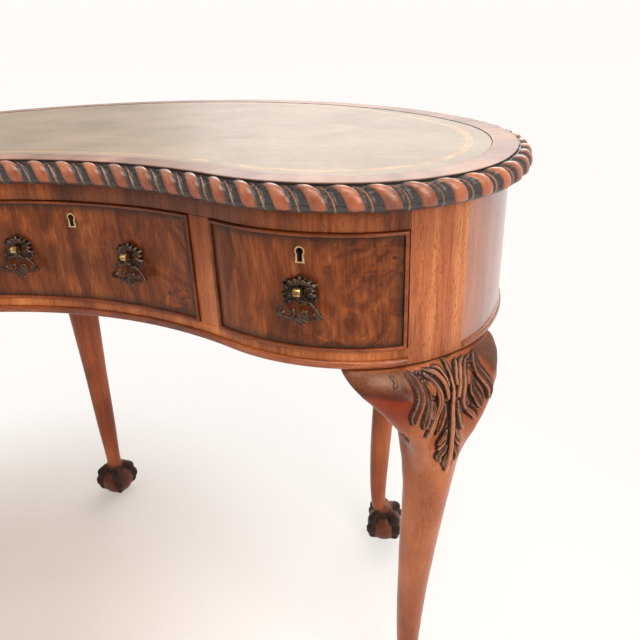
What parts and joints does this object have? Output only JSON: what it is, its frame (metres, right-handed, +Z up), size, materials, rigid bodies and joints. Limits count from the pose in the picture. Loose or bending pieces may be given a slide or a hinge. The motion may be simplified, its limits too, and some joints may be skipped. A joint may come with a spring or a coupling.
{
  "type": "kidney shaped desk",
  "caption": "Kidney shaped writing desk with a leather top, carved gadroon edge, frieze drawers with drop handles, and cabriole legs on claw-and-ball feet.",
  "frame": {"origin": "on the floor, under the middle of the desk's bounding box", "axes": "+X to the right seen from the front, +Y to the back, +Z up; the drawers open towards -Y"},
  "size_m": [0.9438, 0.5854, 0.76],
  "materials": {
    "leather": "worn satin",
    "carved_walnut": "polished, dark in the carving",
    "crossband_walnut": "polished",
    "leg_walnut": "polished",
    "panel_walnut": "polished",
    "bead_walnut": "polished",
    "burr_walnut": "polished",
    "inner_wood": "unpolished",
    "drawer_lining": "unpolished",
    "steel": "dull",
    "brass": "worn",
    "bronze": "dark patina"
  },
  "bodies": {
    "carcase": {"back_panel": "panel_walnut", "base_bead_back": "bead_walnut", "base_bead_front": "bead_walnut", "base_bead_left": "bead_walnut", "base_bead_right": "bead_walnut", "crossband_border": "crossband_walnut", "divider_left": "crossband_walnut", "divider_right": "crossband_walnut", "drawer_kickers": "inner_wood", "drawer_runners": "drawer_lining", "end_panel_left": "panel_walnut", "end_panel_right": "panel_walnut", "front_bottom_rail": "crossband_walnut", "front_top_rail": "crossband_walnut", "gadroon_edge": "carved_walnut", "knee_brackets_back_left": "leg_walnut", "knee_brackets_back_right": "leg_walnut", "knee_brackets_front_left": "leg_walnut", "knee_brackets_front_right": "leg_walnut", "leather_inset": "leather", "leg_back_left": "leg_walnut", "leg_back_right": "leg_walnut", "leg_front_left": "leg_walnut", "leg_front_right": "leg_walnut", "partition_left": "inner_wood", "partition_right": "inner_wood", "top_board": "inner_wood", "top_screws": "steel"},
    "drawer_centre": {"centre_back": "drawer_lining", "centre_bottom": "drawer_lining", "centre_cockbead": "bead_walnut", "centre_escutcheon": "brass", "centre_front": "burr_walnut", "centre_handle_rose_left": "bronze", "centre_handle_rose_right": "bronze", "centre_lock_case": "steel", "centre_sides": "drawer_lining"},
    "drawer_left": {"side_back_left": "drawer_lining", "side_bottom_left": "drawer_lining", "side_cockbead_left": "bead_walnut", "side_escutcheon_left": "brass", "side_front_left": "burr_walnut", "side_handle_rose_left": "bronze", "side_lock_case_left": "steel", "side_sides_left": "drawer_lining"},
    "drawer_right": {"side_back_right": "drawer_lining", "side_bottom_right": "drawer_lining", "side_cockbead_right": "bead_walnut", "side_escutcheon_right": "brass", "side_front_right": "burr_walnut", "side_handle_rose_right": "bronze", "side_lock_case_right": "steel", "side_sides_right": "drawer_lining"},
    "pull_centre_left": {"centre_handle_pull_left": "bronze"},
    "pull_centre_right": {"centre_handle_pull_right": "bronze"},
    "bolt_centre": {"centre_lock_bolt": "steel"},
    "pull_left": {"side_handle_pull_left": "bronze"},
    "pull_right": {"side_handle_pull_right": "bronze"},
    "bolt_left": {"side_lock_bolt_left": "steel"},
    "bolt_right": {"side_lock_bolt_right": "steel"}
  },
  "joints": [
    {"name": "drawer_centre_slide", "type": "slide", "parent": "carcase", "child": "drawer_centre", "axis": [0, -1, 0], "range_m": [0, 0.254]},
    {"name": "drawer_left_slide", "type": "slide", "parent": "carcase", "child": "drawer_left", "axis": [0, -1, 0], "range_m": [0, 0.217]},
    {"name": "drawer_right_slide", "type": "slide", "parent": "carcase", "child": "drawer_right", "axis": [0, -1, 0], "range_m": [0, 0.217]},
    {"name": "bolt_centre_slide", "type": "slide", "parent": "drawer_centre", "child": "bolt_centre", "axis": [0, 0, 1], "range_m": [0, 0.007]},
    {"name": "bolt_left_slide", "type": "slide", "parent": "drawer_left", "child": "bolt_left", "axis": [0, 0, 1], "range_m": [0, 0.007]},
    {"name": "bolt_right_slide", "type": "slide", "parent": "drawer_right", "child": "bolt_right", "axis": [0, 0, 1], "range_m": [0, 0.007]},
    {"name": "pull_centre_left_swing", "type": "hinge", "parent": "drawer_centre", "child": "pull_centre_left", "pos_m": [-0.0684, -0.22186, 0.662], "axis": [-0.9886, -0.1505, 0], "range_deg": [0, 85]},
    {"name": "pull_centre_right_swing", "type": "hinge", "parent": "drawer_centre", "child": "pull_centre_right", "pos_m": [0.0684, -0.22186, 0.662], "axis": [-0.9886, 0.1505, 0], "range_deg": [0, 85]},
    {"name": "pull_left_swing", "type": "hinge", "parent": "drawer_left", "child": "pull_left", "pos_m": [-0.27466, -0.27823, 0.662], "axis": [-0.9995, -0.0318, 0], "range_deg": [0, 85]},
    {"name": "pull_right_swing", "type": "hinge", "parent": "drawer_right", "child": "pull_right", "pos_m": [0.27466, -0.27823, 0.662], "axis": [-0.9995, 0.0318, 0], "range_deg": [0, 85]}
  ]
}
